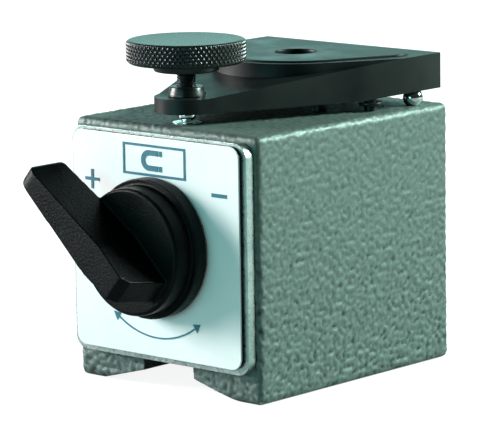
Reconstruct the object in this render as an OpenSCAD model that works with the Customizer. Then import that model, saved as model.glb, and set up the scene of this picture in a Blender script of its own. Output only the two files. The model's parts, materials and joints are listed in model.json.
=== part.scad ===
// Switchable magnetic base with a rocking fine-adjustment arm.
// Origin: middle of the underside, between the two feet. +Z up, -Y towards the switch knob.

/* [Block] */
// Width across the two poles
block_w = 50; // [48:1:60]
// Depth, front to rear
block_d = 60; // [58:1:70]
// Height from the feet to the top
block_h = 54; // [54:1:60]
// Radius of the block's upright edges
block_edge_r = 1.5; // [0.5:0.5:3]
// Angle of each flank of the V-groove
groove_angle = 15; // [12:1:18]
// Width over the inner edges of the feet
groove_w = 38; // [34:1:40]
// Width of the slot in the middle of the groove
slot_w = 13.6; // [12:0.2:15]
// Height of the slot's roof
slot_h = 8; // [7:0.5:8]
// Thickness of the brass spacers between the poles
spacer_t = 7; // [6:0.5:8]

/* [Switch] */
// Height of the magnet's axis
axis_z = 29.9; // [29:0.1:31]
// Radius of the magnet's bore
bore_r = 16; // [15:0.5:16]
// Radius of the switch shaft
shaft_r = 5; // [4:0.5:5]
// Turn between the two positions, in degrees
switch_throw = 100; // [90:1:105]
// Lever's angle from upright at rest, towards the plus mark
lever_angle = 49.9; // [45:0.1:55]
// Radius of the knob's foot
knob_foot_r = 14.2; // [13:0.1:15]
// Radius of the knob's body
knob_body_r = 12.9; // [12:0.1:13.5]
// Height of the knob's body over the label
knob_body_h = 8; // [7:0.5:9]
// Height of the lever's front edge over the label
lever_h = 18.6; // [17:0.1:20]
// Reach of the lever from the axis
lever_reach = 24.5; // [20:0.5:26]
// Thickness of the lever at the axis
lever_t = 7.5; // [6:0.5:8]

/* [Front] */
// Width of the bezel plate
bezel_w = 47.4; // [46:0.2:48]
// Height of the bezel plate
bezel_h = 46.4; // [45:0.2:47]
// Thickness of the bezel plate
bezel_t = 2; // [1.5:0.5:2.5]
// Width of the label
label_w = 45; // [44:0.5:46]
// Height of the label
label_h = 44.6; // [44:0.2:45]

/* [Arm] */
// Width of the arm at its rear end
arm_w = 47.6; // [46:0.2:48]
// Height of the arm's top face
arm_top_z = 64.4; // [64:0.1:66]
// Height of the arm's underside
arm_under_z = 56.25; // [56:0.05:57]
// Height of the nose's top
nose_top_z = 59.3; // [59:0.1:60]
// Radius of the nose round the adjusting screw
nose_r = 6.6; // [6:0.1:7]
// Radius of the island round the column's thread
island_r = 17.6; // [17:0.1:18]
// Distance from the block's middle back to the column's thread
column_y = 10.5; // [9:0.5:12]
// Minor radius of the column's M8 thread
column_thread_r = 3.4; // [3.3:0.05:3.5]

/* [Adjusting screw] */
// Distance from the block's middle forward to the screw
screw_y = 23; // [22:0.5:24]
// Radius of the screw, M4
screw_r = 2; // [1.9:0.05:2]
// Radius of the knurled knob
knurl_r = 12.1; // [11:0.1:13]
// Height of the knurled knob's underside
knurl_z = 66.1; // [66:0.1:67]
// Thickness of the knurled knob
knurl_h = 4.7; // [4:0.1:6]

/* [Hidden] */
$fn = 64;

front_y = -block_d / 2;
rear_y = block_d / 2;
cut = 0.5; // how far a cutter runs past the face it cuts
fit_gap = 0.3; // between surfaces that move past each other
running_gap = 0.05; // between a shaft and its bush
slack = 0.4; // clearance that lets the arm rock

// Front plates, each standing on the one behind it
bezel_z = bezel_h / 2 + 6.2;
bezel_y = front_y - bezel_t;
bezel_r = 3;
spigot_len = 6;
pad_t = 0.6;
label_t = 0.4;
label_z = label_h / 2 + 7.4;
label_r = 2.5;
label_y = bezel_y - pad_t - label_t;
mark_t = 0.1;
plate_hole_r = shaft_r + 3.4;
plus_pos = [-17.2, 42.1];
minus_pos = [17.4, 42];
mark_len = 4;
plus_w = 0.65;
minus_w = 0.75;
sign_z = 47.3;
turn_mark_r = 18.6;
turn_mark_half = 34;

// Bushes and rotor, front to rear
bush_r = shaft_r + 2;
flange_r = shaft_r + 3;
flange_t = 0.8;
hub_r = bore_r - fit_gap;
hub_t = 2.5;
magnet_half = 20;
ring_t = 1;
ring_r = shaft_r + 1.8;
shaft_len = 6.6; // how far the shaft reaches into the knob
shaft_flat = 1; // depth of the flat under the set screw
shaft_front_y = label_y - shaft_len;
shaft_rear_y = 28.8;
stop_r = 1.5;
stop_radius = 12;
stop_angle = 90; // straight above the axis
stop_depth = 2;
stop_hold = 4; // how deep the stop pin sits in the bezel's spigot
detent_r = 1.5;
detent_radius = 8.9;
detent_angle = -70;
detent_hold = 5; // depth of the detent spring's hole
detent_spring_r = 1.4;
detent_spring_in_r = 0.9;
set_screw_r = 2;
track_depth = 0.9;
spigot_y = front_y + spigot_len;
front_hub_y = -magnet_half - hub_t;

// Knob
foot_top = 3.4;
knob_chamfer = 0.5;
knob_insert_r = bush_r + 0.5;
knob_cavity_h = 7.2;
insert_foot = 0.6;
set_screw_h = 4.4;
set_screw_len = 6.5;
set_socket = [2, 2];
seal_r = 12.4;
seal_in_r = 10.8;
seal_depth = 1.5;
lever_low_h = 8.4;
tip_front_r = 3;
tip_rear_r = 1.6;
tip_plan_r = 1.4;
lever_taper = 0.07;
heel_taper = 0.09;
heel_x = -12;
lever_heel = [[-11.2, 7], [-9.2, 17], [-7.6, lever_h]];

// Rear cover, let into the poles
cover_w = 40;
rear_cover_t = 1.5;
rear_spigot_y = 25;
rear_screw_pos = 16.5;
bezel_screw_x = 19.5;
bezel_screw_dz = 18.5;
small_screw_r = 1.5;
small_head_r = 2.8;
bezel_screw_len = 10;
rear_screw_len = 7;
small_socket = [2, 1.2]; // width across flats, depth

// Pins that hold the poles and spacers together
cross_pin_r = 1.75;
cross_pin_len = 44;
cross_pin_top = [16, 50];
cross_pin_low = [20, 11];

// Rocking joint at the rear of the block's top
ball_r = 2.1;
ball_pos = [21.4, 22.6, block_h + 1.5];
seat_r = ball_r + 0.15;
pin_pos = [19.5, 11.2];
pin_r = 1.3;
pin_low_z = 50;
pin_top_z = 59.2;
pin_collar_r = 2.5;
pin_collar_z = 55.1;
pin_collar_t = 0.7;
anvil_r = 3;
anvil_t = 2;
hold_pos = [11, 5];
hold_r = 1.5;
hold_low_z = 46.5;
hold_spring_r = 2.9;
hold_spring_in_r = 2.3;
hold_washer_r = 3;
hold_socket = [2.5, 1.2];
hold_head_r = 2.75;
hold_pocket_r = 3.4;
hold_floor_z = 58;
hold_washer_z = 60.3;
washer_t = 0.5;
hold_head_h = 1.9;

// Arm
arm_side_x = arm_w / 2;
arm_corner_y = 16.5;
arm_rear_y = 28.8;
relief_y = 8;
relief_z = arm_under_z + 0.8;
ramp_y = -screw_y - 1;
pad_r = 15.6;
pad_corner_r = 4.5;
pad_corner = [16.5, 20];
pad_top_z = arm_top_z + 0.35;
pad_floor_z = arm_top_z - 1;
insert_r = 5.5;
insert_low_z = 56.8;
mouth_r = 4.4;
bush_top_z = 61.3;
bush_in_r = 3;
bush_collar_r = 3.8;
bush_neck_r = 3.3;

// Adjusting screw
tip_r = 1.8;
tip_z = block_h + 0.05;
tip_top_z = 55.9;
spigot_r = 1;
hub_step_r = 6.6;
hub_step_h = 1.7;
screw_end_z = tip_top_z + 0.1;
knurl_edge = 0.7;
knob_pin_r = 0.8;

// Points of an arc, centre c, radius r, from angle a to angle b
function arc(c, r, a, b, n = 8) = [for (i = [0 : n]) let (t = a + (b - a) * i / n)
    c + r * [cos(t), sin(t)]];
// Where the line from point p touches the circle c, r; side is 1 or -1
function touch(c, r, p, side) = let (d = p - c, a = atan2(d[1], d[0]) + side * acos(r / norm(d)))
    c + r * [cos(a), sin(a)];
// Direction of the outer tangent's normal on two circles, right of the way from a to b
function tangent_normal(a, ra, b, rb) = let (d = b - a)
    atan2(d[1], d[0]) - acos((ra - rb) / norm(d));
function mirrored(points) = [for (i = [len(points) - 1 : -1 : 0]) [-points[i][0], points[i][1]]];

module rounded_rect(w, h, r) {
    square([w - 2 * r, h], center = true);
    square([w, h - 2 * r], center = true);
    for (x = [-1, 1], y = [-1, 1]) translate([x * (w / 2 - r), y * (h / 2 - r)]) circle(r);
}

// Stands a flat shape on the plane Y = y, growing towards the front by t
module facing_front(y, t) {
    translate([0, y, 0]) rotate([90, 0, 0]) linear_extrude(t) children();
}

// Cylinder along Y round the magnet's axis
module turned(r, y0, y1) {
    translate([0, y1, axis_z]) rotate([90, 0, 0]) cylinder(r = r, h = y1 - y0);
}

module ring(r_out, r_in, y0, y1) {
    difference() {
        turned(r_out, y0, y1);
        turned(r_in, y0 - cut, y1 + cut);
    }
}

module upright(pos, r, z0, z1) {
    translate([pos[0], pos[1], z0]) cylinder(r = r, h = z1 - z0);
}

// Countersunk screw along -Z, its head flush with Z = 0
module countersunk(r, head_r, len, grow = 0) {
    translate([0, 0, -len]) cylinder(r = r + grow, h = len);
    translate([0, 0, -(head_r - r)]) cylinder(r1 = r + grow, r2 = head_r + grow, h = head_r - r);
}

// size is the width across flats and the depth
module hex_socket(size) {
    translate([0, 0, -size[1]]) cylinder(d = size[0] / cos(30), h = size[1] + cut, $fn = 6);
}

// ---- Block

module groove_profile() {
    side = groove_w / 2;
    rise = (side - slot_w / 2) * tan(groove_angle);
    polygon([[-side, -cut], [-side, 0], [-slot_w / 2, rise], [-slot_w / 2, slot_h],
        [slot_w / 2, slot_h], [slot_w / 2, rise], [side, 0], [side, -cut]]);
}

module block_solid() {
    difference() {
        linear_extrude(block_h) rounded_rect(block_w, block_d, block_edge_r);
        facing_front(rear_y + cut, block_d + 2 * cut) groove_profile();
        turned(bore_r, front_y - cut, rear_y + cut);
        facing_front(rear_y + cut, rear_cover_t + cut)
            translate([0, axis_z]) rounded_rect(cover_w, cover_w, 3);
        bezel_screw_places() countersunk(small_screw_r, small_head_r, bezel_screw_len);
        rear_screw_places() countersunk(small_screw_r, small_head_r, rear_screw_len);
        cross_pin_places() cylinder(r = cross_pin_r, h = cross_pin_len, center = true);
        for (x = [-1, 1]) {
            translate([x * ball_pos[0], ball_pos[1], ball_pos[2]]) sphere(ball_r);
            upright([x * pin_pos[0], pin_pos[1]], pin_r, pin_low_z, block_h + cut);
            upright([x * hold_pos[0], hold_pos[1]], hold_r, hold_low_z, block_h + cut);
        }
        upright([0, -screw_y], anvil_r, block_h - anvil_t, block_h + cut);
    }
}

module pole(side) {
    intersection() {
        block_solid();
        translate([side > 0 ? spacer_t / 2 : -block_w, -block_d, -cut])
            cube([block_w - (side > 0 ? 0 : spacer_t / 2), 2 * block_d, 2 * block_h]);
    }
}

module spacer(z0, z1) {
    intersection() {
        block_solid();
        translate([-spacer_t / 2, -block_d, z0]) cube([spacer_t, 2 * block_d, z1 - z0]);
    }
}

module left_pole() color([0.42, 0.52, 0.49]) pole(-1);
module right_pole() color([0.42, 0.52, 0.49]) pole(1);
module top_spacer() color([0.78, 0.62, 0.3]) spacer(axis_z, block_h + cut);
module bottom_spacer() color([0.78, 0.62, 0.3]) spacer(0, axis_z);

module cross_pin_places() {
    for (place = [cross_pin_top, cross_pin_low], y = [-1, 1])
        translate([0, y * place[0], place[1]]) rotate([0, 90, 0]) children();
}

module cross_pins() color([0.75, 0.6, 0.3]) {
    cross_pin_places() cylinder(r = cross_pin_r, h = cross_pin_len, center = true);
}

// ---- Front plates

module bezel_screw_places() {
    for (x = [-1, 1], z = [-1, 1])
        translate([x * bezel_screw_x, bezel_y, bezel_z + z * bezel_screw_dz])
            rotate([90, 0, 0]) children();
}

module bezel_plate() color([0.72, 0.78, 0.78]) difference() {
    union() {
        facing_front(front_y, bezel_t) translate([0, bezel_z]) rounded_rect(bezel_w, bezel_h, bezel_r);
        turned(bore_r, front_y - cut, spigot_y);
    }
    turned(bush_r, bezel_y - cut, spigot_y + cut);
    turned(flange_r, bezel_y - cut, bezel_y + flange_t);
    bezel_screw_places() countersunk(small_screw_r, small_head_r, bezel_screw_len);
    stop_place() turned(stop_r, spigot_y - stop_hold, spigot_y + cut);
    detent_place() turned(detent_r + 0.1, spigot_y - detent_hold, spigot_y + cut);
}

module bezel_screws() color([0.6, 0.6, 0.58]) {
    bezel_screw_places() difference() {
        countersunk(small_screw_r, small_head_r, bezel_screw_len);
        hex_socket(small_socket);
    }
}

module label_sheet(w, h, r, hole_r, y, t) {
    facing_front(y, t) difference() {
        translate([0, label_z]) rounded_rect(w, h, r);
        translate([0, axis_z]) circle(hole_r);
    }
}

module label_pad() color([0.05, 0.05, 0.05]) {
    label_sheet(label_w, label_h, label_r, plate_hole_r, bezel_y, pad_t);
}

module label_plate() color([0.86, 0.9, 0.9]) {
    label_sheet(label_w, label_h, label_r, plate_hole_r, bezel_y - pad_t, label_t);
}

// A horseshoe magnet inside a frame: a generic pictogram
module magnet_sign() {
    difference() {
        square([17, 6.4], center = true);
        square([16, 5.4], center = true);
    }
    translate([-1.4, 0]) rotate(90) {
        difference() {
            circle(2.1);
            circle(1);
            translate([-3, -6]) square([6, 6]);
        }
        for (x = [-1.55, 1.55]) translate([x, -1.2]) square([1.1, 2.5], center = true);
        for (x = [-1.55, 1.55]) translate([x, -3.1]) square([1.1, 0.8], center = true);
    }
}

module turn_arc(r, w, from, to) {
    polygon(concat(arc([0, 0], r + w / 2, from, to, 24), arc([0, 0], r - w / 2, to, from, 24)));
}

module label_marks() color([0.1, 0.35, 0.42]) {
    facing_front(label_y, mark_t) {
        translate(plus_pos) {
            square([mark_len, plus_w], center = true);
            square([plus_w, mark_len], center = true);
        }
        translate(minus_pos) square([mark_len, minus_w], center = true);
        translate([0, sign_z]) magnet_sign();
        translate([0, axis_z]) {
            turn_arc(turn_mark_r, plus_w / 2, 270 - turn_mark_half, 270 + turn_mark_half);
            for (side = [-1, 1]) rotate(side * turn_mark_half) translate([0, -turn_mark_r])
                polygon([[side * 1.8, 0], [0, 1], [0, -1]]);
        }
    }
}

// ---- Bearings and rear cover

module front_bush() color([0.7, 0.5, 0.28]) difference() {
    union() {
        turned(bush_r, bezel_y, spigot_y);
        turned(flange_r, bezel_y, bezel_y + flange_t);
    }
    turned(shaft_r + running_gap, bezel_y - cut, spigot_y + cut);
}

module rear_screw_places() {
    for (x = [-1, 1], z = [-1, 1])
        translate([x * rear_screw_pos, rear_y, axis_z + z * rear_screw_pos])
            rotate([-90, 0, 0]) children();
}

module rear_cover() color([0.5, 0.52, 0.52]) difference() {
    union() {
        facing_front(rear_y, rear_cover_t) translate([0, axis_z]) rounded_rect(cover_w, cover_w, 3);
        turned(bore_r, rear_spigot_y, rear_y - 1);
    }
    turned(bush_r, rear_spigot_y - cut, rear_y - 1);
    rear_screw_places() countersunk(small_screw_r, small_head_r, rear_screw_len);
}

module rear_screws() color([0.6, 0.6, 0.58]) {
    rear_screw_places() difference() {
        countersunk(small_screw_r, small_head_r, rear_screw_len);
        hex_socket(small_socket);
    }
}

module rear_bush() color([0.7, 0.5, 0.28]) difference() {
    turned(bush_r, rear_spigot_y - flange_t, rear_y - 1);
    turned(shaft_r + running_gap, rear_spigot_y - cut - flange_t, rear_y - 1 + cut);
}

module stop_place() {
    translate(stop_radius * [cos(stop_angle), 0, sin(stop_angle)]) children();
}

module detent_place() {
    translate(detent_radius * [cos(detent_angle), 0, sin(detent_angle)]) children();
}

module stop_pin() color([0.55, 0.55, 0.55]) {
    stop_place() turned(stop_r, spigot_y - stop_hold, front_hub_y + stop_depth - slack);
}

module detent_ball() color([0.8, 0.8, 0.8]) {
    detent_place() translate([0, front_hub_y + track_depth - fit_gap - detent_r, axis_z])
        sphere(detent_r);
}

module detent_spring() color([0.6, 0.6, 0.6]) {
    detent_place() ring(detent_spring_r, detent_spring_in_r, spigot_y - detent_hold,
        front_hub_y + track_depth - fit_gap - 2 * detent_r);
}

// ---- Pieces on the block's top

module screw_anvil() color([0.6, 0.62, 0.62]) {
    upright([0, -screw_y], anvil_r, block_h - anvil_t, block_h);
}

module fulcrum_balls() color([0.85, 0.87, 0.87]) {
    for (x = [-1, 1]) translate([x * ball_pos[0], ball_pos[1], ball_pos[2]]) sphere(ball_r);
}

module guide_pins() color([0.08, 0.08, 0.08]) {
    for (x = [-1, 1]) {
        upright([x * pin_pos[0], pin_pos[1]], pin_r, pin_low_z, pin_top_z);
        upright([x * pin_pos[0], pin_pos[1]], pin_collar_r, pin_collar_z, pin_collar_z + pin_collar_t);
    }
}

module hold_down_screws() color([0.1, 0.1, 0.1]) {
    for (x = [-1, 1]) difference() {
        union() {
            upright([x * hold_pos[0], hold_pos[1]], hold_r, hold_low_z, hold_washer_z + washer_t);
            upright([x * hold_pos[0], hold_pos[1]], hold_head_r, hold_washer_z + washer_t,
                hold_washer_z + washer_t + hold_head_h);
        }
        translate([x * hold_pos[0], hold_pos[1], hold_washer_z + washer_t + hold_head_h])
            hex_socket(hold_socket);
    }
}

module hold_down_washers() color([0.6, 0.6, 0.6]) {
    for (x = [-1, 1]) difference() {
        upright([x * hold_pos[0], hold_pos[1]], hold_washer_r, hold_washer_z, hold_washer_z + washer_t);
        upright([x * hold_pos[0], hold_pos[1]], hold_r, hold_washer_z - cut,
            hold_washer_z + washer_t + cut);
    }
}

module hold_down_springs() color([0.5, 0.5, 0.5]) {
    for (x = [-1, 1]) difference() {
        upright([x * hold_pos[0], hold_pos[1]], hold_spring_r, hold_floor_z, hold_washer_z);
        upright([x * hold_pos[0], hold_pos[1]], hold_spring_in_r, hold_floor_z - cut, hold_washer_z + cut);
    }
}

// ---- Switch: everything that turns with the lever

// Frame of the lever: X along its reach, Z away from the label
module on_knob() {
    translate([0, label_y, axis_z]) rotate([90, 0, 0]) rotate(90 + lever_angle) children();
}

module lever_side() {
    hub = knob_body_r - knob_chamfer;
    polygon(concat(lever_heel,
        arc([lever_reach - tip_front_r, lever_h - tip_front_r], tip_front_r, 90, 0),
        arc([lever_reach - tip_rear_r, lever_low_h + tip_rear_r], tip_rear_r, 0, -90),
        [[hub, knob_body_h - 0.4], [hub - 1.4, knob_body_h - 1]]));
}

module lever_plan() {
    tip_t = lever_t / 2 - lever_reach * lever_taper;
    heel_t = lever_t / 2 + heel_x * heel_taper;
    right = concat([[heel_x, -heel_t], [0, -lever_t / 2]],
        arc([lever_reach - tip_plan_r, tip_plan_r - tip_t], tip_plan_r, -85, 0));
    polygon(concat(right, [for (i = [len(right) - 1 : -1 : 0]) [right[i][0], -right[i][1]]]));
}

module switch_knob() color([0.04, 0.05, 0.05]) on_knob() difference() {
    union() {
        translate([0, 0, fit_gap]) cylinder(r = knob_foot_r, h = foot_top - fit_gap);
        translate([0, 0, fit_gap]) cylinder(r = knob_body_r, h = knob_body_h - knob_chamfer - fit_gap);
        translate([0, 0, knob_body_h - knob_chamfer])
            cylinder(r1 = knob_body_r, r2 = knob_body_r - knob_chamfer, h = knob_chamfer);
        intersection() {
            translate([0, lever_t, 0]) rotate([90, 0, 0]) linear_extrude(2 * lever_t) lever_side();
            linear_extrude(2 * lever_h) lever_plan();
        }
    }
    translate([0, 0, -cut]) cylinder(r = knob_insert_r, h = knob_cavity_h + cut);
    difference() {
        translate([0, 0, -cut]) cylinder(r = seal_r, h = seal_depth + cut);
        translate([0, 0, -2 * cut]) cylinder(r = seal_in_r, h = 2 * seal_depth + cut);
    }
    set_screw_place() cylinder(r = set_screw_r, h = knob_foot_r);
}

module knob_insert() color([0.75, 0.6, 0.3]) on_knob() difference() {
    translate([0, 0, insert_foot]) cylinder(r = knob_insert_r, h = knob_cavity_h - insert_foot);
    translate([0, 0, -cut]) cylinder(r = shaft_r, h = shaft_len + cut);
    set_screw_place() cylinder(r = set_screw_r, h = knob_foot_r);
}

module set_screw_place() {
    translate([0, shaft_r - shaft_flat, set_screw_h]) rotate([-90, 0, 0]) children();
}

module knob_set_screw() color([0.1, 0.1, 0.1]) on_knob() set_screw_place() difference() {
    cylinder(r = set_screw_r, h = set_screw_len);
    translate([0, 0, set_screw_len]) hex_socket(set_socket);
}

module seal_ring() color([0.03, 0.03, 0.03]) on_knob() difference() {
    translate([0, 0, mark_t]) cylinder(r = seal_r, h = seal_depth - mark_t);
    translate([0, 0, -cut]) cylinder(r = seal_in_r, h = 2 * seal_depth);
}

module rotor_shaft() color([0.6, 0.62, 0.62]) difference() {
    turned(shaft_r, shaft_front_y, shaft_rear_y);
    on_knob() translate([-shaft_r, shaft_r - shaft_flat, insert_foot])
        cube([2 * shaft_r, shaft_r, 2 * shaft_len]);
}

module retaining_ring() color([0.3, 0.3, 0.3]) {
    ring(ring_r, shaft_r, spigot_y + 0.2, spigot_y + 0.2 + ring_t);
}

// The arc that the stop pin runs in, as wide as the switch's throw
module stop_slot() {
    far = stop_angle + switch_throw;
    half = stop_r + fit_gap;
    translate([0, front_hub_y + stop_depth, axis_z]) rotate([90, 0, 0]) linear_extrude(hub_t) {
        turn_arc(stop_radius, 2 * half, stop_angle, far);
        for (a = [stop_angle, far]) translate(stop_radius * [cos(a), sin(a)]) circle(half);
    }
}

module front_hub() color([0.66, 0.68, 0.68]) difference() {
    turned(hub_r, front_hub_y, -magnet_half);
    turned(shaft_r, front_hub_y - cut, 0);
    stop_slot();
    ring(detent_radius + 1.4, detent_radius - 1.4, front_hub_y - cut, front_hub_y + track_depth);
}

module rotor_magnet() color([0.25, 0.25, 0.26]) {
    ring(hub_r, shaft_r, -magnet_half, magnet_half);
}

module rear_hub() color([0.66, 0.68, 0.68]) {
    ring(hub_r, shaft_r, magnet_half, magnet_half + hub_t);
}

module thrust_washer() color([0.75, 0.6, 0.3]) {
    ring(shaft_r + 4, shaft_r, magnet_half + hub_t, rear_spigot_y - flange_t - 0.1);
}

// ---- Arm: everything that rocks on the two balls

module arm_outline(front_c, front_r) {
    corner = [arm_side_x, arm_corner_y];
    right = [touch(front_c, front_r, corner, -1), corner, [arm_side_x, arm_rear_y]];
    translate(front_c) circle(front_r);
    polygon(concat(right, mirrored(right)));
}

module pad_outline() {
    column = [0, column_y];
    n = tangent_normal(column, pad_r, pad_corner, pad_corner_r);
    out = [cos(n), sin(n)];
    right = [column + pad_r * out, pad_corner + pad_corner_r * out, pad_corner + [0, pad_corner_r]];
    intersection() {
        translate(column) circle(pad_r);
        translate([-pad_r, -pad_r]) square([2 * pad_r, pad_r + right[2][1]]);
    }
    for (x = [-1, 1]) translate([x * pad_corner[0], pad_corner[1]]) circle(pad_corner_r);
    polygon(concat(right, mirrored(right)));
}

// Side view of the arm: a level nose, the ramp, and the relief under the rear
module arm_side_view() {
    nose_y = -screw_y - nose_r - 1;
    polygon([[nose_y, arm_under_z], [relief_y, arm_under_z], [arm_corner_y, relief_z],
        [arm_rear_y, relief_z], [arm_rear_y, arm_top_z], [arm_corner_y, arm_top_z],
        [ramp_y, nose_top_z], [nose_y, nose_top_z]]);
}

module adjusting_arm() color([0.05, 0.06, 0.06]) difference() {
    union() {
        intersection() {
            translate([0, 0, block_h]) linear_extrude(20) arm_outline([0, -screw_y], nose_r);
            translate([-block_w, 0, 0]) rotate([90, 0, 90]) linear_extrude(2 * block_w) arm_side_view();
        }
        translate([0, 0, relief_z]) linear_extrude(arm_top_z - relief_z)
            arm_outline([0, column_y], island_r);
    }
    translate([0, 0, pad_floor_z]) linear_extrude(5) pad_outline();
    upright([0, column_y], insert_r, block_h, arm_top_z + cut);
    upright([0, -screw_y], bush_in_r, block_h, nose_top_z + 3);
    upright([0, -screw_y], bush_collar_r + running_gap, nose_top_z, arm_top_z);
    for (x = [-1, 1]) {
        translate([x * ball_pos[0], ball_pos[1], ball_pos[2]]) sphere(seat_r);
        upright([x * pin_pos[0], pin_pos[1]], pin_r + 0.35, block_h, 60);
        upright([x * hold_pos[0], hold_pos[1]], hold_r + slack, block_h, arm_top_z);
        upright([x * hold_pos[0], hold_pos[1]], hold_pocket_r, hold_floor_z, arm_top_z);
    }
}

module cover_plate() color([0.06, 0.07, 0.07]) difference() {
    translate([0, 0, pad_floor_z]) linear_extrude(pad_top_z - pad_floor_z) pad_outline();
    upright([0, column_y], mouth_r, pad_floor_z - cut, pad_top_z + cut);
}

module thread_insert() color([0.25, 0.26, 0.26]) difference() {
    upright([0, column_y], insert_r, insert_low_z, pad_floor_z);
    upright([0, column_y], column_thread_r, block_h, arm_top_z);
}

module screw_bush() color([0.06, 0.07, 0.07]) difference() {
    union() {
        upright([0, -screw_y], bush_in_r, arm_under_z, nose_top_z);
        translate([0, -screw_y, nose_top_z])
            cylinder(r1 = bush_collar_r, r2 = bush_neck_r, h = bush_top_z - nose_top_z);
    }
    upright([0, -screw_y], screw_r + running_gap, block_h, bush_top_z + cut);
}

// ---- Adjusting screw and its tip

module screw_tip() color([0.85, 0.87, 0.87]) difference() {
    union() {
        upright([0, -screw_y], tip_r, tip_z + 0.9, tip_top_z);
        translate([0, -screw_y, tip_z]) cylinder(r1 = tip_r - 0.9, r2 = tip_r, h = 0.9);
    }
    upright([0, -screw_y], spigot_r + running_gap, tip_z + 0.9, tip_top_z + cut);
}

module adjusting_screw() color([0.1, 0.1, 0.1]) difference() {
    union() {
        upright([0, -screw_y], spigot_r, tip_z + 1, screw_end_z);
        upright([0, -screw_y], screw_r, screw_end_z, knurl_z + 3);
    }
    knob_pin_place() cylinder(r = knob_pin_r, h = 20, center = true);
}

module knob_pin_place() {
    translate([0, -screw_y, knurl_z - hub_step_h / 2]) rotate([90, 0, 0]) children();
}

module screw_knob() color([0.06, 0.07, 0.07]) difference() {
    translate([0, -screw_y, 0]) {
        translate([0, 0, knurl_z - hub_step_h]) cylinder(r = hub_step_r, h = hub_step_h + 1);
        translate([0, 0, knurl_z]) cylinder(r1 = knurl_r - knurl_edge, r2 = knurl_r, h = knurl_edge);
        translate([0, 0, knurl_z + knurl_edge]) cylinder(r = knurl_r, h = knurl_h - 2 * knurl_edge);
        translate([0, 0, knurl_z + knurl_h - knurl_edge])
            cylinder(r1 = knurl_r, r2 = knurl_r - knurl_edge, h = knurl_edge);
    }
    upright([0, -screw_y], screw_r, block_h, knurl_z + 3);
    knob_pin_place() cylinder(r = knob_pin_r, h = 20, center = true);
}

module knob_pin() color([0.5, 0.5, 0.5]) {
    knob_pin_place() cylinder(r = knob_pin_r, h = 2 * hub_step_r - 1, center = true);
}

left_pole();
right_pole();
top_spacer();
bottom_spacer();
cross_pins();
bezel_plate();
bezel_screws();
label_pad();
label_plate();
label_marks();
front_bush();
rear_bush();
rear_cover();
rear_screws();
stop_pin();
detent_ball();
detent_spring();
screw_anvil();
fulcrum_balls();
guide_pins();
hold_down_screws();
hold_down_washers();
hold_down_springs();
switch_knob();
knob_insert();
knob_set_screw();
seal_ring();
rotor_shaft();
retaining_ring();
front_hub();
rotor_magnet();
rear_hub();
thrust_washer();
adjusting_arm();
cover_plate();
thread_insert();
screw_bush();
screw_tip();
adjusting_screw();
screw_knob();
knob_pin();
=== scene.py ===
"""Looks of a switchable magnetic base with a fine-adjustment arm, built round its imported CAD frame."""

import json
import math

import bmesh
import bpy
import numpy as np
from mathutils import Matrix, Vector, noise


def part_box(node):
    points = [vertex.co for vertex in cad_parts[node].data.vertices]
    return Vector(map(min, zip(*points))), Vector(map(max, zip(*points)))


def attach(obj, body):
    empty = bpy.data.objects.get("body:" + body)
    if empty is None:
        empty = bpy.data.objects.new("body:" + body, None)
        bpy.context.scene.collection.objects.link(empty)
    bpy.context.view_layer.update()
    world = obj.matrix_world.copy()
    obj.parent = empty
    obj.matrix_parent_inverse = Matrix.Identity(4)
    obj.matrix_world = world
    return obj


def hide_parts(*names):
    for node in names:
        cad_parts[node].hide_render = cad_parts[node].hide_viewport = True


MM = 0.001
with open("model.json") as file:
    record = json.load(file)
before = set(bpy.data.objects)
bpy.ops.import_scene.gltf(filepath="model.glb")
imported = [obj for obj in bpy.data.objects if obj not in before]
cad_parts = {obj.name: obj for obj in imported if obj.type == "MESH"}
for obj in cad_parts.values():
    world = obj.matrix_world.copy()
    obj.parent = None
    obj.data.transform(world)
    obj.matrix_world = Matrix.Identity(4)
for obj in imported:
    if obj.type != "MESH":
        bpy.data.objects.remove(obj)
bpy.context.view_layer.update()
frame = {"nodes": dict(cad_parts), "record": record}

# Sizes repeated from the CAD source, in millimetres
SPACER_X = 3.5
GROOVE_HALF, SLOT_HALF, SLOT_ROOF = 19.0, 6.8, 8.0
GROOVE_SLOPE = math.tan(math.radians(15))
EDGE_R = 1.5
AXIS_Z = 29.9
BORE_R = 16.0
SCREW_Y = -23.0
COLUMN_Y = 10.5
HOLD_SPRING_R = 2.9

# Room under the hold-down coils for the arm to rise at the end of its tilt
ARM_TRAVEL = 0.6


# ---- Mesh helpers


def link_mesh(name, mesh):
    piece = bpy.data.objects.new(name, mesh)
    bpy.context.scene.collection.objects.link(piece)
    return piece


def from_bmesh(name, bm, materials=()):
    mesh = bpy.data.meshes.new(name)
    bm.to_mesh(mesh)
    bm.free()
    for material in materials:
        mesh.materials.append(material)
    return link_mesh(name, mesh)


def install(piece, body, slot, *nodes):
    """The piece rides on its body and stands for CAD nodes."""
    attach(piece, body)
    if nodes:
        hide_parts(*nodes)
    return piece


def shade(bm, sharp_angle):
    """Smooth faces, with a hard edge wherever the surface turns by more than sharp_angle degrees."""
    limit = math.radians(sharp_angle)
    for face in bm.faces:
        face.smooth = True
    for edge in bm.edges:
        if len(edge.link_faces) == 2:
            edge.smooth = edge.calc_face_angle() < limit


def flat_faces(piece):
    """Keeps large flat faces flat in shading, next to their rounded edges."""
    modifier = piece.modifiers.new("weighted", "WEIGHTED_NORMAL")
    modifier.keep_sharp = True
    modifier.weight = 80


def apply_modifiers(piece):
    depsgraph = bpy.context.evaluated_depsgraph_get()
    mesh = bpy.data.meshes.new_from_object(piece.evaluated_get(depsgraph))
    piece.modifiers.clear()
    piece.data = mesh


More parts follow.
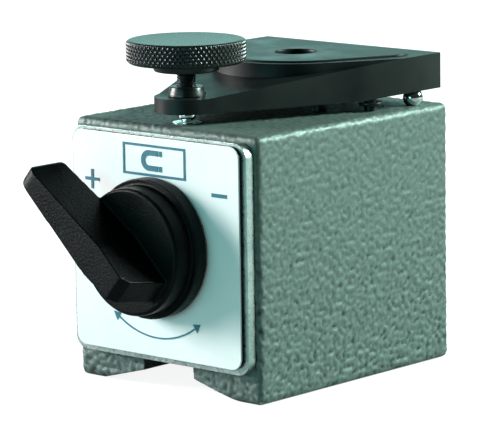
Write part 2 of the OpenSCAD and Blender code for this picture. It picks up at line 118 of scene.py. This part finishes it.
def cad_copy(node):
    """A welded copy of a CAD node's mesh, its flat faces whole again."""
    bm = bmesh.new()
    bm.from_mesh(frame["nodes"][node].data)
    bmesh.ops.remove_doubles(bm, verts=bm.verts, dist=2e-6)
    bmesh.ops.dissolve_limit(bm, angle_limit=math.radians(0.5), verts=bm.verts, edges=bm.edges)
    return bm


def bevelled(name, node, body, slot, material, width, segments=3, angle=32):
    """A CAD node with its sharp edges rounded by width, in millimetres."""
    bm = cad_copy(node)
    limit = math.radians(angle)
    sharp = [e for e in bm.edges if len(e.link_faces) == 2 and e.calc_face_angle() > limit]
    bmesh.ops.bevel(
        bm,
        geom=sharp,
        offset=width * MM,
        offset_type="OFFSET",
        segments=segments,
        profile=0.5,
        affect="EDGES",
        clamp_overlap=True,
        miter_outer="ARC",
    )
    shade(bm, 50)
    piece = from_bmesh(name, bm, [material])
    flat_faces(piece)
    return install(piece, body, slot, node)


def moulded(name, node, body, slot, material, voxel, rounds):
    """A CAD node as a moulding: its edges and inner corners rounded by remeshing and smoothing."""
    bm = cad_copy(node)
    bmesh.ops.triangulate(bm, faces=bm.faces)
    piece = from_bmesh(name, bm, [material])
    remesh = piece.modifiers.new("remesh", "REMESH")
    remesh.mode = "VOXEL"
    remesh.voxel_size = voxel * MM
    remesh.use_smooth_shade = True
    smooth = piece.modifiers.new("smooth", "SMOOTH")
    smooth.factor = 0.5
    smooth.iterations = rounds
    apply_modifiers(piece)
    return install(piece, body, slot, node)


def turned_mesh(name, centre, profile, segments, change=None):
    """A closed solid of revolution about the vertical through centre.

    The profile is (radius, height) in millimetres, and change(angle, radius, height) may alter a radius.
    """
    bm = bmesh.new()
    rings = []
    for r, z in profile:
        ring = []
        for i in range(segments):
            a = 2 * math.pi * i / segments
            radius = change(a, r, z) if change else r
            x = centre[0] * MM + radius * MM * math.cos(a)
            y = centre[1] * MM + radius * MM * math.sin(a)
            ring.append(bm.verts.new((x, y, z * MM)))
        rings.append(ring)
    for low, high in zip(rings, rings[1:] + rings[:1]):
        for i in range(segments):
            j = (i + 1) % segments
            bm.faces.new((low[i], low[j], high[j], high[i]))
    bmesh.ops.remove_doubles(bm, verts=bm.verts, dist=1e-6)
    bmesh.ops.recalc_face_normals(bm, faces=bm.faces)
    shade(bm, 50)
    return from_bmesh(name, bm)


# ---- Materials


class Look:
    """A procedural material: a Principled shader and the nodes that drive it."""

    def __init__(self, name, color, metallic=0.0, roughness=0.5, specular=0.5):
        self.material = bpy.data.materials.new(name)
        self.material.use_nodes = True
        self.material.diffuse_color = (*color, 1)
        self.tree = self.material.node_tree
        self.shader = self.tree.nodes["Principled BSDF"]
        self.shader.inputs["Base Color"].default_value = (*color, 1)
        self.shader.inputs["Metallic"].default_value = metallic
        self.shader.inputs["Roughness"].default_value = roughness
        self.shader.inputs["Specular IOR Level"].default_value = specular
        self.place = self.tree.nodes.new("ShaderNodeTexCoord").outputs["Object"]

    def set(self, socket, value):
        self.shader.inputs[socket].default_value = value

    def link(self, source, socket):
        self.tree.links.new(source, socket)

    def stretch(self, x, y, z):
        """Coordinates scaled along each axis."""
        node = self.tree.nodes.new("ShaderNodeMapping")
        node.inputs["Scale"].default_value = (x, y, z)
        self.link(self.place, node.inputs["Vector"])
        return node.outputs["Vector"]

    def noise(self, size, detail=3.0, place=None, roughness=0.55):
        """Noise whose blobs are about size millimetres across."""
        node = self.tree.nodes.new("ShaderNodeTexNoise")
        node.inputs["Scale"].default_value = 1 / (size * MM)
        node.inputs["Detail"].default_value = detail
        node.inputs["Roughness"].default_value = roughness
        self.link(place or self.place, node.inputs["Vector"])
        return node.outputs["Fac"]

    def attribute(self, name):
        node = self.tree.nodes.new("ShaderNodeAttribute")
        node.attribute_name = name
        return node.outputs["Fac"]

    def remap(self, source, low, high, to_low, to_high):
        node = self.tree.nodes.new("ShaderNodeMapRange")
        for socket, value in zip(node.inputs[1:5], (low, high, to_low, to_high)):
            socket.default_value = value
        self.link(source, node.inputs[0])
        return node.outputs[0]

    def add(self, first, second, share=1.0):
        node = self.tree.nodes.new("ShaderNodeMath")
        node.operation = "MULTIPLY_ADD"
        self.link(second, node.inputs[0])
        node.inputs[1].default_value = share
        self.link(first, node.inputs[2])
        return node.outputs[0]

    def ramp(self, source, *stops):
        """Colours at positions along a value."""
        node = self.tree.nodes.new("ShaderNodeValToRGB")
        band = node.color_ramp
        while len(band.elements) < len(stops):
            band.elements.new(1.0)
        for element, (position, color) in zip(band.elements, stops):
            element.position = position
            element.color = (*color, 1)
        self.link(source, node.inputs[0])
        return node.outputs[0]

    def rings(self, x, y, size):
        """Turning marks round the vertical through (x, y), size millimetres apart."""
        nodes = self.tree.nodes
        shift = nodes.new("ShaderNodeMapping")
        shift.inputs["Location"].default_value = (-x * MM, -y * MM, 0)
        shift.inputs["Scale"].default_value = (1, 1, 0)
        self.link(self.place, shift.inputs["Vector"])
        length = nodes.new("ShaderNodeVectorMath")
        length.operation = "LENGTH"
        self.link(shift.outputs[0], length.inputs[0])
        marks = nodes.new("ShaderNodeTexNoise")
        marks.noise_dimensions = "1D"
        marks.inputs["Scale"].default_value = 1 / (size * MM)
        marks.inputs["Detail"].default_value = 2
        self.link(length.outputs["Value"], marks.inputs["W"])
        return marks.outputs["Fac"]

    def color(self, source):
        self.link(source, self.shader.inputs["Base Color"])

    def rough(self, source, low, high):
        self.link(self.remap(source, 0.3, 0.7, low, high), self.shader.inputs["Roughness"])

    def bump(self, source, depth, strength=1.0):
        """Relief of depth millimetres."""
        node = self.tree.nodes.new("ShaderNodeBump")
        node.inputs["Distance"].default_value = depth * MM
        node.inputs["Strength"].default_value = strength
        self.link(source, node.inputs["Height"])
        self.link(node.outputs[0], self.shader.inputs["Normal"])


def hammertone():
    look = Look("hammertone", (0.13, 0.18, 0.16), metallic=0.3, roughness=0.5)
    # The colour darkens with the dimples' depth stored on the vertices, as painted shade in the hollows
    # that is deepest towards the bottom; the grain adds random tone.
    pit_shade = look.attribute("pit_shade")
    grain = look.noise(0.8, 4)
    grain_and_pit_shade = look.add(pit_shade, grain, 0.35)
    look.color(
        look.ramp(
            grain_and_pit_shade,
            (0.3, (0.1, 0.145, 0.13)),
            (0.65, (0.078, 0.115, 0.102)),
            (0.9, (0.05, 0.076, 0.068)),
            (1.2, (0.022, 0.036, 0.032)),
        )
    )
    look.rough(grain, 0.46, 0.62)
    look.bump(look.noise(0.6, 4, roughness=0.6), 0.1, 0.7)
    return look.material


def ground_steel():
    look = Look("ground_steel", (0.5, 0.53, 0.53), metallic=1.0, roughness=0.34)
    grain = look.noise(0.25, 4, look.stretch(1, 0.04, 1))
    stain = look.noise(7, 3)
    look.color(look.ramp(stain, (0.3, (0.34, 0.37, 0.37)), (0.7, (0.52, 0.55, 0.55))))
    look.rough(grain, 0.24, 0.42)
    look.bump(grain, 0.012, 0.8)
    return look.material


def metal(name, dark, light, low, high, size=0.6, depth=0.006):
    """Plain machined or rolled metal: faint stains, fine scratches."""
    look = Look(name, light, metallic=1.0, roughness=low)
    stain = look.noise(size * 8, 3)
    scratch = look.noise(size, 4, look.stretch(1, 1, 0.15))
    look.color(look.ramp(stain, (0.3, dark), (0.7, light)))
    look.rough(scratch, low, high)
    look.bump(scratch, depth, 0.7)
    return look.material


def cast_zinc():
    look = Look("cast_zinc", (0.55, 0.62, 0.6), metallic=1.0, roughness=0.3)
    skin = look.noise(0.7, 5, roughness=0.65)
    stain = look.noise(5, 3)
    look.color(look.ramp(stain, (0.3, (0.5, 0.6, 0.57)), (0.7, (0.68, 0.78, 0.75))))
    look.rough(skin, 0.22, 0.42)
    look.bump(skin, 0.03, 0.6)
    return look.material


def label_foil():
    look = Look("label_foil", (0.9, 0.94, 0.94), metallic=0.1, roughness=0.4)
    brush = look.noise(0.16, 3, look.stretch(0.02, 1, 1))
    cloud = look.noise(16, 2)
    look.color(look.ramp(cloud, (0.3, (0.86, 0.92, 0.92)), (0.7, (0.93, 0.95, 0.95))))
    look.rough(brush, 0.34, 0.46)
    look.bump(brush, 0.004, 0.6)
    return look.material


def ink():
    look = Look("label_ink", (0.02, 0.16, 0.22), roughness=0.45)
    speck = look.noise(0.3, 3)
    look.color(look.ramp(speck, (0.3, (0.015, 0.13, 0.19)), (0.75, (0.03, 0.2, 0.27))))
    look.rough(speck, 0.38, 0.52)
    return look.material


def moulded_plastic():
    look = Look("moulded_plastic", (0.006, 0.009, 0.009), roughness=0.36, specular=0.1)
    grain = look.noise(0.5, 4, roughness=0.65)
    wear = look.noise(9, 3)
    look.color(look.ramp(wear, (0.3, (0.001, 0.002, 0.002)), (0.7, (0.003, 0.005, 0.005))))
    look.rough(wear, 0.32, 0.42)
    look.bump(grain, 0.12, 0.9)
    return look.material


def rubber(name):
    look = Look(name, (0.01, 0.01, 0.01), roughness=0.8, specular=0.3)
    grain = look.noise(0.35, 4)
    look.color(look.ramp(grain, (0.3, (0.006, 0.007, 0.007)), (0.7, (0.016, 0.017, 0.017))))
    look.bump(grain, 0.03)
    return look.material


def anodised():
    look = Look("anodised", (0.004, 0.007, 0.006), metallic=0.0, roughness=0.3, specular=0.25)
    blast = look.noise(0.16, 4, roughness=0.6)
    cloud = look.noise(10, 3)
    look.color(look.ramp(cloud, (0.3, (0.002, 0.004, 0.004)), (0.7, (0.005, 0.009, 0.008))))
    look.rough(look.add(cloud, blast, 0.3), 0.28, 0.44)
    look.bump(blast, 0.006, 0.6)
    return look.material


def anodised_turned():
    look = Look("anodised_turned", (0.004, 0.007, 0.006), metallic=0.0, roughness=0.34, specular=0.4)
    marks = look.rings(0, SCREW_Y, 0.12)
    cloud = look.noise(6, 3)
    look.color(look.ramp(cloud, (0.3, (0.002, 0.004, 0.004)), (0.7, (0.006, 0.01, 0.009))))
    look.rough(marks, 0.26, 0.42)
    look.bump(marks, 0.008, 0.5)
    return look.material


def black_oxide():
    look = Look("black_oxide", (0.02, 0.022, 0.022), metallic=0.8, roughness=0.35)
    cloud = look.noise(1.2, 4)
    look.color(look.ramp(cloud, (0.3, (0.012, 0.014, 0.014)), (0.7, (0.035, 0.04, 0.04))))
    look.rough(cloud, 0.28, 0.45)
    look.bump(cloud, 0.008, 0.5)
    return look.material


def polished():
    look = Look("polished_steel", (0.78, 0.82, 0.81), metallic=1.0, roughness=0.1)
    mark = look.noise(0.5, 4)
    look.color(look.ramp(mark, (0.3, (0.7, 0.76, 0.75)), (0.7, (0.84, 0.88, 0.87))))
    look.rough(mark, 0.07, 0.16)
    look.bump(mark, 0.002, 0.4)
    return look.material


HAMMERTONE = hammertone()
GROUND = ground_steel()
BRASS = metal("brass", (0.52, 0.36, 0.12), (0.66, 0.48, 0.18), 0.25, 0.42)
BRONZE = metal("bronze", (0.36, 0.21, 0.1), (0.5, 0.31, 0.15), 0.35, 0.55, 0.3, 0.01)
STEEL = metal("steel", (0.42, 0.44, 0.44), (0.58, 0.6, 0.6), 0.22, 0.4, 0.3)
ALLOY = metal("hub_alloy", (0.56, 0.58, 0.59), (0.7, 0.72, 0.73), 0.28, 0.45, 0.3)
MAGNET = metal("magnet", (0.07, 0.07, 0.075), (0.13, 0.13, 0.14), 0.4, 0.6, 0.5, 0.012)
ZINC = cast_zinc()
FOIL = label_foil()
INK = ink()
PLASTIC = moulded_plastic()
FOAM = rubber("gasket_foam")
RUBBER = rubber("seal_rubber")
ANODISED = anodised()
ANODISED_TURNED = anodised_turned()
OXIDE = black_oxide()
POLISHED = polished()


# ---- Block


def relief(p):
    """Depth of the hammertone's dimples below the outer face, from 0 to 1, at a point in millimetres. It
    also darkens the paint's colour in the dimples, as painted shade.
    """
    pebbles = noise.noise(p * 1.0) + 0.5 * noise.noise(p * 2.0 + Vector((31, 7, 19)))
    # The dimples deepen towards the bottom, so the painted shade in them darkens there too.
    low = 1.3 - 0.65 * min(1.0, p.z / 45)
    return min(1.0, max(0.0, 0.42 + 0.62 * pebbles * low))


# Depth of the paint's relief, step of the block's grid, half length of its cutters and depth of what
# counts as painted, all in millimetres, and the number of flats that make the bore
RELIEF_MM = 0.3
GRID_STEP = 0.36
CUTTER_REACH = 31
PAINT_SKIN = 0.6
BORE_SIDES = 96
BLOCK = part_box("left_pole")[0] / MM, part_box("right_pole")[1] / MM


def box_grid(lo, hi, radius, step):
    """Vertices, outward normals and quads of a box with rounded edges and a fine grid on all six faces."""
    lo, hi = np.array(lo), np.array(hi)
    counts = np.round((hi - lo) / step).astype(int)
    points, quads = [], []
    for axis in range(3):
        u, v = (axis + 1) % 3, (axis + 2) % 3
        for side, level in ((-1, lo[axis]), (1, hi[axis])):
            base = sum(len(p) for p in points)
            us = np.linspace(lo[u], hi[u], counts[u] + 1)
            vs = np.linspace(lo[v], hi[v], counts[v] + 1)
            grid = np.zeros((len(us), len(vs), 3))
            grid[..., axis] = level
            grid[..., u] = us[:, None]
            grid[..., v] = vs[None, :]
            points.append(grid.reshape(-1, 3))
            index = base + np.arange(len(us) * len(vs)).reshape(len(us), len(vs))
            corners = [index[:-1, :-1], index[1:, :-1], index[1:, 1:], index[:-1, 1:]]
            quad = np.stack(corners, -1).reshape(-1, 4)
            quads.append(quad if side > 0 else quad[:, ::-1])
    points, quads = np.concatenate(points), np.concatenate(quads)
    core = np.clip(points, lo + radius, hi - radius)
    away = points - core
    normals = away / np.linalg.norm(away, axis=1)[:, None]
    return core + normals * radius, normals, quads


def block_solid(step):
    """The whole block with its painted relief, before it is parted into poles and spacers."""
    points, normals, quads = box_grid(*BLOCK, EDGE_R, step)
    painted = normals[:, 2] > -0.6
    depth = np.array([relief(Vector(p)) if on else 0.0 for p, on in zip(points, painted)])
    foot = np.clip((points[:, 2] - 0.2) / 0.8, 0, 1)
    points = points - normals * (depth * foot * RELIEF_MM)[:, None]
    mesh = bpy.data.meshes.new("block")
    mesh.from_pydata((points * MM).tolist(), [], quads.tolist())
    bm = bmesh.new()
    bm.from_mesh(mesh)
    bmesh.ops.remove_doubles(bm, verts=bm.verts, dist=1e-7)
    return bm


def prism(section, y0, y1):
    """A solid along Y over an XZ section, all in millimetres."""
    bm = bmesh.new()
    ends = [[bm.verts.new((x * MM, y * MM, z * MM)) for x, z in section] for y in (y0, y1)]
    bm.faces.new(ends[0])
    bm.faces.new(list(reversed(ends[1])))
    for i in range(len(section)):
        j = (i + 1) % len(section)
        bm.faces.new((ends[0][j], ends[0][i], ends[1][i], ends[1][j]))
    bmesh.ops.recalc_face_normals(bm, faces=bm.faces)
    return bm


def groove_section():
    rise = (GROOVE_HALF - SLOT_HALF) * GROOVE_SLOPE
    right = [(GROOVE_HALF, -2), (GROOVE_HALF, 0), (SLOT_HALF, rise), (SLOT_HALF, SLOT_ROOF)]
    return right + [(-x, z) for x, z in reversed(right)]


def bore_section():
    angles = [2 * math.pi * i / BORE_SIDES for i in range(BORE_SIDES)]
    return [(BORE_R * math.cos(a), AXIS_Z + BORE_R * math.sin(a)) for a in angles]


def cut_block():
    """The block less the V-groove and the magnet's bore."""
    block = from_bmesh("block", block_solid(GRID_STEP))
    sections = (groove_section(), bore_section())
    cutters = [from_bmesh("cutter", prism(section, -CUTTER_REACH, CUTTER_REACH)) for section in sections]
    for cutter in cutters:
        modifier = block.modifiers.new("cut", "BOOLEAN")
        modifier.object = cutter
        modifier.solver = "EXACT"
    apply_modifiers(block)
    for cutter in cutters:
        bpy.data.objects.remove(cutter)
    return block


def is_painted(face, lo, hi):
    """Whether a face lies in the painted skin: not in the bore or the groove, nor under the feet."""
    centre = face.calc_center_median() / MM
    sides = min(centre.x - lo.x, hi.x - centre.x, centre.y - lo.y, hi.y - centre.y)
    inside = min(sides, hi.z - centre.z)
    under_foot = face.normal.z < -0.2 and centre.z < 0.5
    return inside < PAINT_SKIN and face.normal.z > -0.7 and not under_foot


def block_part(name, source, planes, bare, slot, node):
    """One pole or spacer: the block cut down by planes, with bare metal where it isn't painted.

    Each plane is a point and a normal, and what lies on the normal's side is thrown away.
    """
    bm = bmesh.new()
    bm.from_mesh(source)
    for point, normal in planes:
        geom = bm.verts[:] + bm.edges[:] + bm.faces[:]
        bmesh.ops.bisect_plane(bm, geom=geom, plane_co=point, plane_no=normal, clear_outer=True)
    lo, hi = BLOCK
    painted = {face for face in bm.faces if is_painted(face, lo, hi)}
    open_edges = [edge for edge in bm.edges if edge.is_boundary]
    bmesh.ops.holes_fill(bm, edges=open_edges, sides=0)
    for face in bm.faces:
        face.material_index = 0 if face in painted else 1
    shade(bm, 48)
    for edge in bm.edges:
        sides = [face.material_index for face in edge.link_faces]
        if len(sides) == 2 and sides[0] != sides[1]:
            edge.smooth = False
    # Each painted vertex keeps its dimple depth, which darkens the hammertone's colour as painted shade.
    pit_shade_layer = bm.verts.layers.float.new("pit_shade")
    for vert in bm.verts:
        if any(face.material_index == 0 for face in vert.link_faces):
            vert[pit_shade_layer] = relief(vert.co / MM)
    piece = from_bmesh(name, bm, [HAMMERTONE, bare])
    return install(piece, "base", slot, node)


def build_block():
    block = cut_block()
    right, left = Vector((SPACER_X * MM, 0, 0)), Vector((-SPACER_X * MM, 0, 0))
    middle = Vector((0, 0, AXIS_Z * MM))
    x, z = Vector((1, 0, 0)), Vector((0, 0, 1))
    strip = [(right, x), (left, -x)]
    block_part("left_pole_body", block.data, [(left, x)], GROUND, "painted_steel", "left_pole")
    block_part("right_pole_body", block.data, [(right, -x)], GROUND, "painted_steel", "right_pole")
    block_part("top_spacer_body", block.data, [*strip, (middle, -z)], BRASS, "brass", "top_spacer")
    block_part("bottom_spacer_body", block.data, [*strip, (middle, z)], BRASS, "brass", "bottom_spacer")
    bpy.data.objects.remove(block)


# ---- Knurled knob, threads and springs


def build_screw_knob():
    """The knurled knob: crossed helical grooves that run out at its two chamfers."""
    lo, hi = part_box("screw_knob")
    radius, top, bottom = (hi.x - lo.x) / 2 / MM, hi.z / MM, lo.z / MM
    under = bottom + 1.7
    around, rise, depth = 70, 1.43, 0.3

    def knurl(a, r, z):
        if not under + 0.05 < z < top - 0.05 or r < radius - 0.9:
            return r
        u, v = a * around / (2 * math.pi), z / rise
        groove = max(abs(((u + v) % 1) - 0.5), abs(((u - v) % 1) - 0.5)) * 2
        return min(r, radius - depth * max(0.0, groove - 0.22) / 0.78)

    rows = [(radius, under + 0.7 + (top - under - 1.4) * i / 30) for i in range(31)]
    low = [(radius - 0.7 + 0.7 * t, under + 0.7 * t) for t in (0.2, 0.4, 0.6, 0.8)]
    turns = (0.2, 0.4, 0.6, 0.8, 1.0, 1.25, 1.5)
    high = [(radius - 0.85 * (1 - math.cos(t)), top - 0.7 + 0.7 * math.sin(t)) for t in turns]
    profile = [(2, bottom), (6.2, bottom), (6.45, bottom + 0.07), (6.6, bottom + 0.3), (6.6, under - 0.25)]
    profile += [(6.68, under - 0.07), (6.9, under), (radius - 0.8, under), *low, *rows, *high]
    profile += [(radius - 1.2, top), (radius - 1.6, top - 0.02), (6, top - 0.06)]
    profile += [(2, top - 0.08), (0.01, top - 0.08)]
    profile += [(0.01, under + 3), (2, under + 3)]
    piece = turned_mesh("screw_knob_knurled", (0, SCREW_Y), profile, around * 8, knurl)
    piece.data.materials.append(ANODISED_TURNED)
    flat_faces(piece)
    install(piece, "screw", "black_anodised", "screw_knob")


def thread_wave(a, z, pitch):
    """0 at a thread's root and 1 at its crest."""
    phase = (z / pitch - a / (2 * math.pi)) % 1
    return min(1.0, max(0.0, 1.25 - 2.5 * abs(phase - 0.5)))


def build_thread_insert():
    lo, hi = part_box("thread_insert")
    outer, z0, z1 = (hi.x - lo.x) / 2 / MM, lo.z / MM, hi.z / MM
    minor, major, pitch = 3.4, 4.05, 1.25

    def cut(a, r, z):
        if r > minor + 0.01:
            return r
        run_in = max(0.0, min(1.0, (z1 - z) / 0.6, (z - z0) / 0.6))
        mouth = major + 0.15
        thread = major - (major - minor) * thread_wave(a, z, pitch)
        return mouth - (mouth - thread) * run_in

    bore = [(minor, z1 - (z1 - z0) * i / 72) for i in range(73)]
    piece = turned_mesh("thread_insert_m8", (0, COLUMN_Y), [(outer, z0), (outer, z1), *bore], 72, cut)
    piece.data.materials.append(OXIDE)
    install(piece, "arm", "black_steel", "thread_insert")


def build_adjusting_screw():
    lo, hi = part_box("adjusting_screw")
    z0, z1 = lo.z / MM, hi.z / MM
    body, neck, spigot, pitch, step = 2.0, 1.75, 1.0, 0.5, 1.05

    def cut(a, r, z):
        return r - 0.24 * (1 - thread_wave(a, z, pitch)) if r == body and z < z1 - 5.6 else r

    rows = [(body, z0 + step + 0.2 + (z1 - z0 - step - 5.8) * i / 110) for i in range(111)]
    profile = [(0.01, z0), (spigot - 0.15, z0), (spigot, z0 + 0.15), (spigot, z0 + step)]
    profile += [(body - 0.3, z0 + step), *rows, (body - 0.05, z1 - 5.5), (neck, z1 - 5.3)]
    profile += [(neck, z1 - 3.6), (body, z1 - 3.4), (body, z1 - 0.2), (body - 0.2, z1), (0.01, z1)]
    piece = turned_mesh("adjusting_screw_m4", (0, SCREW_Y), profile, 40, cut)
    piece.data.materials.append(OXIDE)
    install(piece, "screw", "black_steel", "adjusting_screw")


def coil(name, body, slot, nodes, starts, radius, wire, length, turns, along, material):
    """Compression springs with closed ends, each from a start point along a direction, as one piece."""
    curve = bpy.data.curves.new(name, "CURVE")
    curve.dimensions = "3D"
    curve.bevel_depth = wire * MM
    curve.bevel_resolution = 3
    curve.materials.append(material)
    along = Vector(along)
    side = along.orthogonal().normalized()
    other = along.cross(side)
    total = turns + 2
    for start in starts:
        spline = curve.splines.new("POLY")
        count = int(total * 20)
        spline.points.add(count)
        for i, point in enumerate(spline.points):
            turn = total * i / count
            share = min(max((turn - 1) / turns, 0), 1)
            closed = wire * (1 + min(turn, 1) + max(turn - turns - 1, 0))
            rise = closed + (length - 4 * wire) * share
            a = 2 * math.pi * turn
            place = Vector(start) + along * rise + (side * math.cos(a) + other * math.sin(a)) * radius
            point.co = (*(place * MM), 1)
    piece = bpy.data.objects.new(name, curve)
    bpy.context.scene.collection.objects.link(piece)
    return install(piece, body, slot, *nodes)


def build_springs():
    """The coils ride on the base, so the hold-down pair leaves the arm room to rise under it."""
    lo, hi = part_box("hold_down_springs")
    x, y = hi.x / MM - HOLD_SPRING_R, (lo.y + hi.y) / 2 / MM
    z0, length = lo.z / MM + ARM_TRAVEL, (hi.z - lo.z) / MM - ARM_TRAVEL
    starts = [(s * x, y, z0) for s in (-1, 1)]
    nodes = ["hold_down_springs"]
    coil("hold_down_coils", "base", "steel", nodes, starts, 2.58, 0.28, length, 1.6, (0, 0, 1), STEEL)
    lo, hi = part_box("detent_spring")
    middle = (lo + hi) / 2 / MM
    starts = [(middle.x, lo.y / MM, middle.z)]
    length = (hi.y - lo.y) / MM
    coil("detent_coil", "base", "steel", ["detent_spring"], starts, 1.12, 0.18, length, 3, (0, 1, 0), STEEL)


# ---- Pieces that keep their CAD shape


def build_bevelled():
    bevelled("bezel_plate_body", "bezel_plate", "base", "zinc", ZINC, 0.45, 4)
    bevelled("label_gasket", "label_pad", "base", "foam", FOAM, 0.12, 2)
    bevelled("label_sheet", "label_plate", "base", "label_foil", FOIL, 0.1, 2)
    bevelled("rear_cover_body", "rear_cover", "base", "zinc", ZINC, 0.35)
    bevelled("rear_screws_body", "rear_screws", "base", "steel", STEEL, 0.12, 2)
    bevelled("guide_pins_body", "guide_pins", "base", "black_steel", OXIDE, 0.15, 2)
    bevelled("adjusting_arm_body", "adjusting_arm", "arm", "black_anodised", ANODISED, 0.3)
    bevelled("cover_plate_body", "cover_plate", "arm", "black_anodised", ANODISED, 0.2)
    bevelled("screw_bush_body", "screw_bush", "arm", "black_anodised", ANODISED_TURNED, 0.2)
    bevelled("screw_tip_body", "screw_tip", "tip", "bright_steel", POLISHED, 0.15)
    bevelled("knob_set_screw_body", "knob_set_screw", "switch", "black_steel", OXIDE, 0.1, 2)
    bevelled("hold_down_screws_body", "hold_down_screws", "base", "black_steel", OXIDE, 0.15, 2)


def dress_cad_nodes():
    """CAD nodes that stay get their material."""
    looks = {
        "brass": BRASS,
        "bronze": BRONZE,
        "steel": STEEL,
        "black_steel": OXIDE,
        "bright_steel": POLISHED,
        "magnet": MAGNET,
        "hub_alloy": ALLOY,
        "rubber": RUBBER,
        "label_ink": INK,
        "zinc": ZINC,
    }
    slots = {row["node"]: row["material_slot"] for row in frame["record"]["subparts"]}
    for node, piece in frame["nodes"].items():
        if not piece.hide_render:
            piece.data.materials.clear()
            piece.data.materials.append(looks[slots[node]])


# ---- Stage


def area_light(name, position, target, size, power, color=(1, 1, 1)):
    light = bpy.data.lights.new(name, "AREA")
    light.shape = "RECTANGLE"
    light.size, light.size_y = size
    light.energy = power
    light.color = color
    lamp = bpy.data.objects.new(name, light)
    bpy.context.scene.collection.objects.link(lamp)
    lamp.location = position
    lamp.visible_camera = False
    lamp.rotation_euler = (Vector(position) - Vector(target)).to_track_quat("Z", "Y").to_euler()


# Strength of the background as the object sees it, and of the floor as the camera sees it
WORLD_DIM = 0.02
FLOOR_LIFT = 0.9

# The floor's radius and how far it lies under the object, in metres
FLOOR_RADIUS = 3
FLOOR_DROP = 0.0001


def seen_by_camera(tree, others, camera):
    """A strength for a stage surface: one value for the camera, another for the light on the object."""
    path = tree.nodes.new("ShaderNodeLightPath")
    choose = tree.nodes.new("ShaderNodeMapRange")
    choose.inputs[3].default_value = others
    choose.inputs[4].default_value = camera
    tree.links.new(path.outputs["Is Camera Ray"], choose.inputs[0])
    return choose.outputs[0]


def build_stage():
    scene = bpy.context.scene
    scene.view_settings.view_transform = "Standard"
    world = bpy.data.worlds.new("studio")
    world.use_nodes = True
    ambient = world.node_tree.nodes["Background"]
    ambient.inputs[0].default_value = (0.95, 1.0, 0.99, 1)
    seen_world = seen_by_camera(world.node_tree, WORLD_DIM, 1.0)
    world.node_tree.links.new(seen_world, ambient.inputs[1])
    scene.world = world
    middle = (0, 0, 0.03)
    area_light("backdrop", (-0.6, 0.95, 0.26), (0, 0, 0.22), (1.7, 0.5), 4.2, (0.5, 1, 0.93))
    area_light("key", (-0.85, -0.45, 0.3), middle, (0.45, 0.4), 18.5, (1, 0.98, 0.98))
    area_light("fill", (-0.1, -0.9, 0.12), middle, (0.6, 0.3), 2.4, (0.3, 1, 0.97))
    area_light("side", (0.6, 0.62, 0.5), middle, (0.3, 0.3), 27.0, (0.78, 1, 0.92))

    floor_look = Look("floor", (0.86, 0.88, 0.88), roughness=0.9, specular=0.1)
    patches = floor_look.noise(60, 2)
    floor_look.color(floor_look.ramp(patches, (0.3, (0.2, 0.21, 0.21)), (0.7, (0.23, 0.24, 0.24))))
    floor_look.set("Emission Color", (1, 1, 1, 1))
    seen_floor = seen_by_camera(floor_look.tree, 0.0, FLOOR_LIFT)
    floor_look.link(seen_floor, floor_look.shader.inputs["Emission Strength"])
    bm = bmesh.new()
    bmesh.ops.create_circle(bm, cap_ends=True, segments=128, radius=FLOOR_RADIUS)
    bmesh.ops.translate(bm, verts=bm.verts, vec=(0, 0, -FLOOR_DROP))
    floor = from_bmesh("floor", bm, [floor_look.material])


# The camera's angles in degrees, its distance and target in metres, its lens in millimetres
AZIMUTH, ELEVATION, ROLL = 41.70, 9.92, -0.84
CAMERA_DISTANCE = 0.7218
TARGET_RIGHT, TARGET_Z = -0.00297, 0.0322
LENS, SENSOR = 251.1, 36


def build_camera():
    azimuth, elevation, roll = (math.radians(a) for a in (AZIMUTH, ELEVATION, ROLL))
    level = math.cos(elevation)
    back = Vector((math.sin(azimuth) * level, -math.cos(azimuth) * level, math.sin(elevation)))
    right = Vector((math.cos(azimuth), math.sin(azimuth), 0))
    up = back.cross(right)
    target = right * TARGET_RIGHT + Vector((0, 0, TARGET_Z))
    across = right * math.cos(roll) + up * math.sin(roll)
    above = up * math.cos(roll) - right * math.sin(roll)
    data = bpy.data.cameras.new("camera")
    data.sensor_width = SENSOR
    data.lens = LENS
    camera = bpy.data.objects.new("camera", data)
    bpy.context.scene.collection.objects.link(camera)
    turn = Matrix((across, above, back)).transposed().to_4x4()
    camera.matrix_world = Matrix.Translation(target + back * CAMERA_DISTANCE) @ turn
    bpy.context.scene.camera = camera


build_camera()
build_stage()
build_block()
moulded("switch_knob_body", "switch_knob", "switch", "black_plastic", PLASTIC, voxel=0.2, rounds=6)
build_bevelled()
build_screw_knob()
build_thread_insert()
build_adjusting_screw()
build_springs()
dress_cad_nodes()
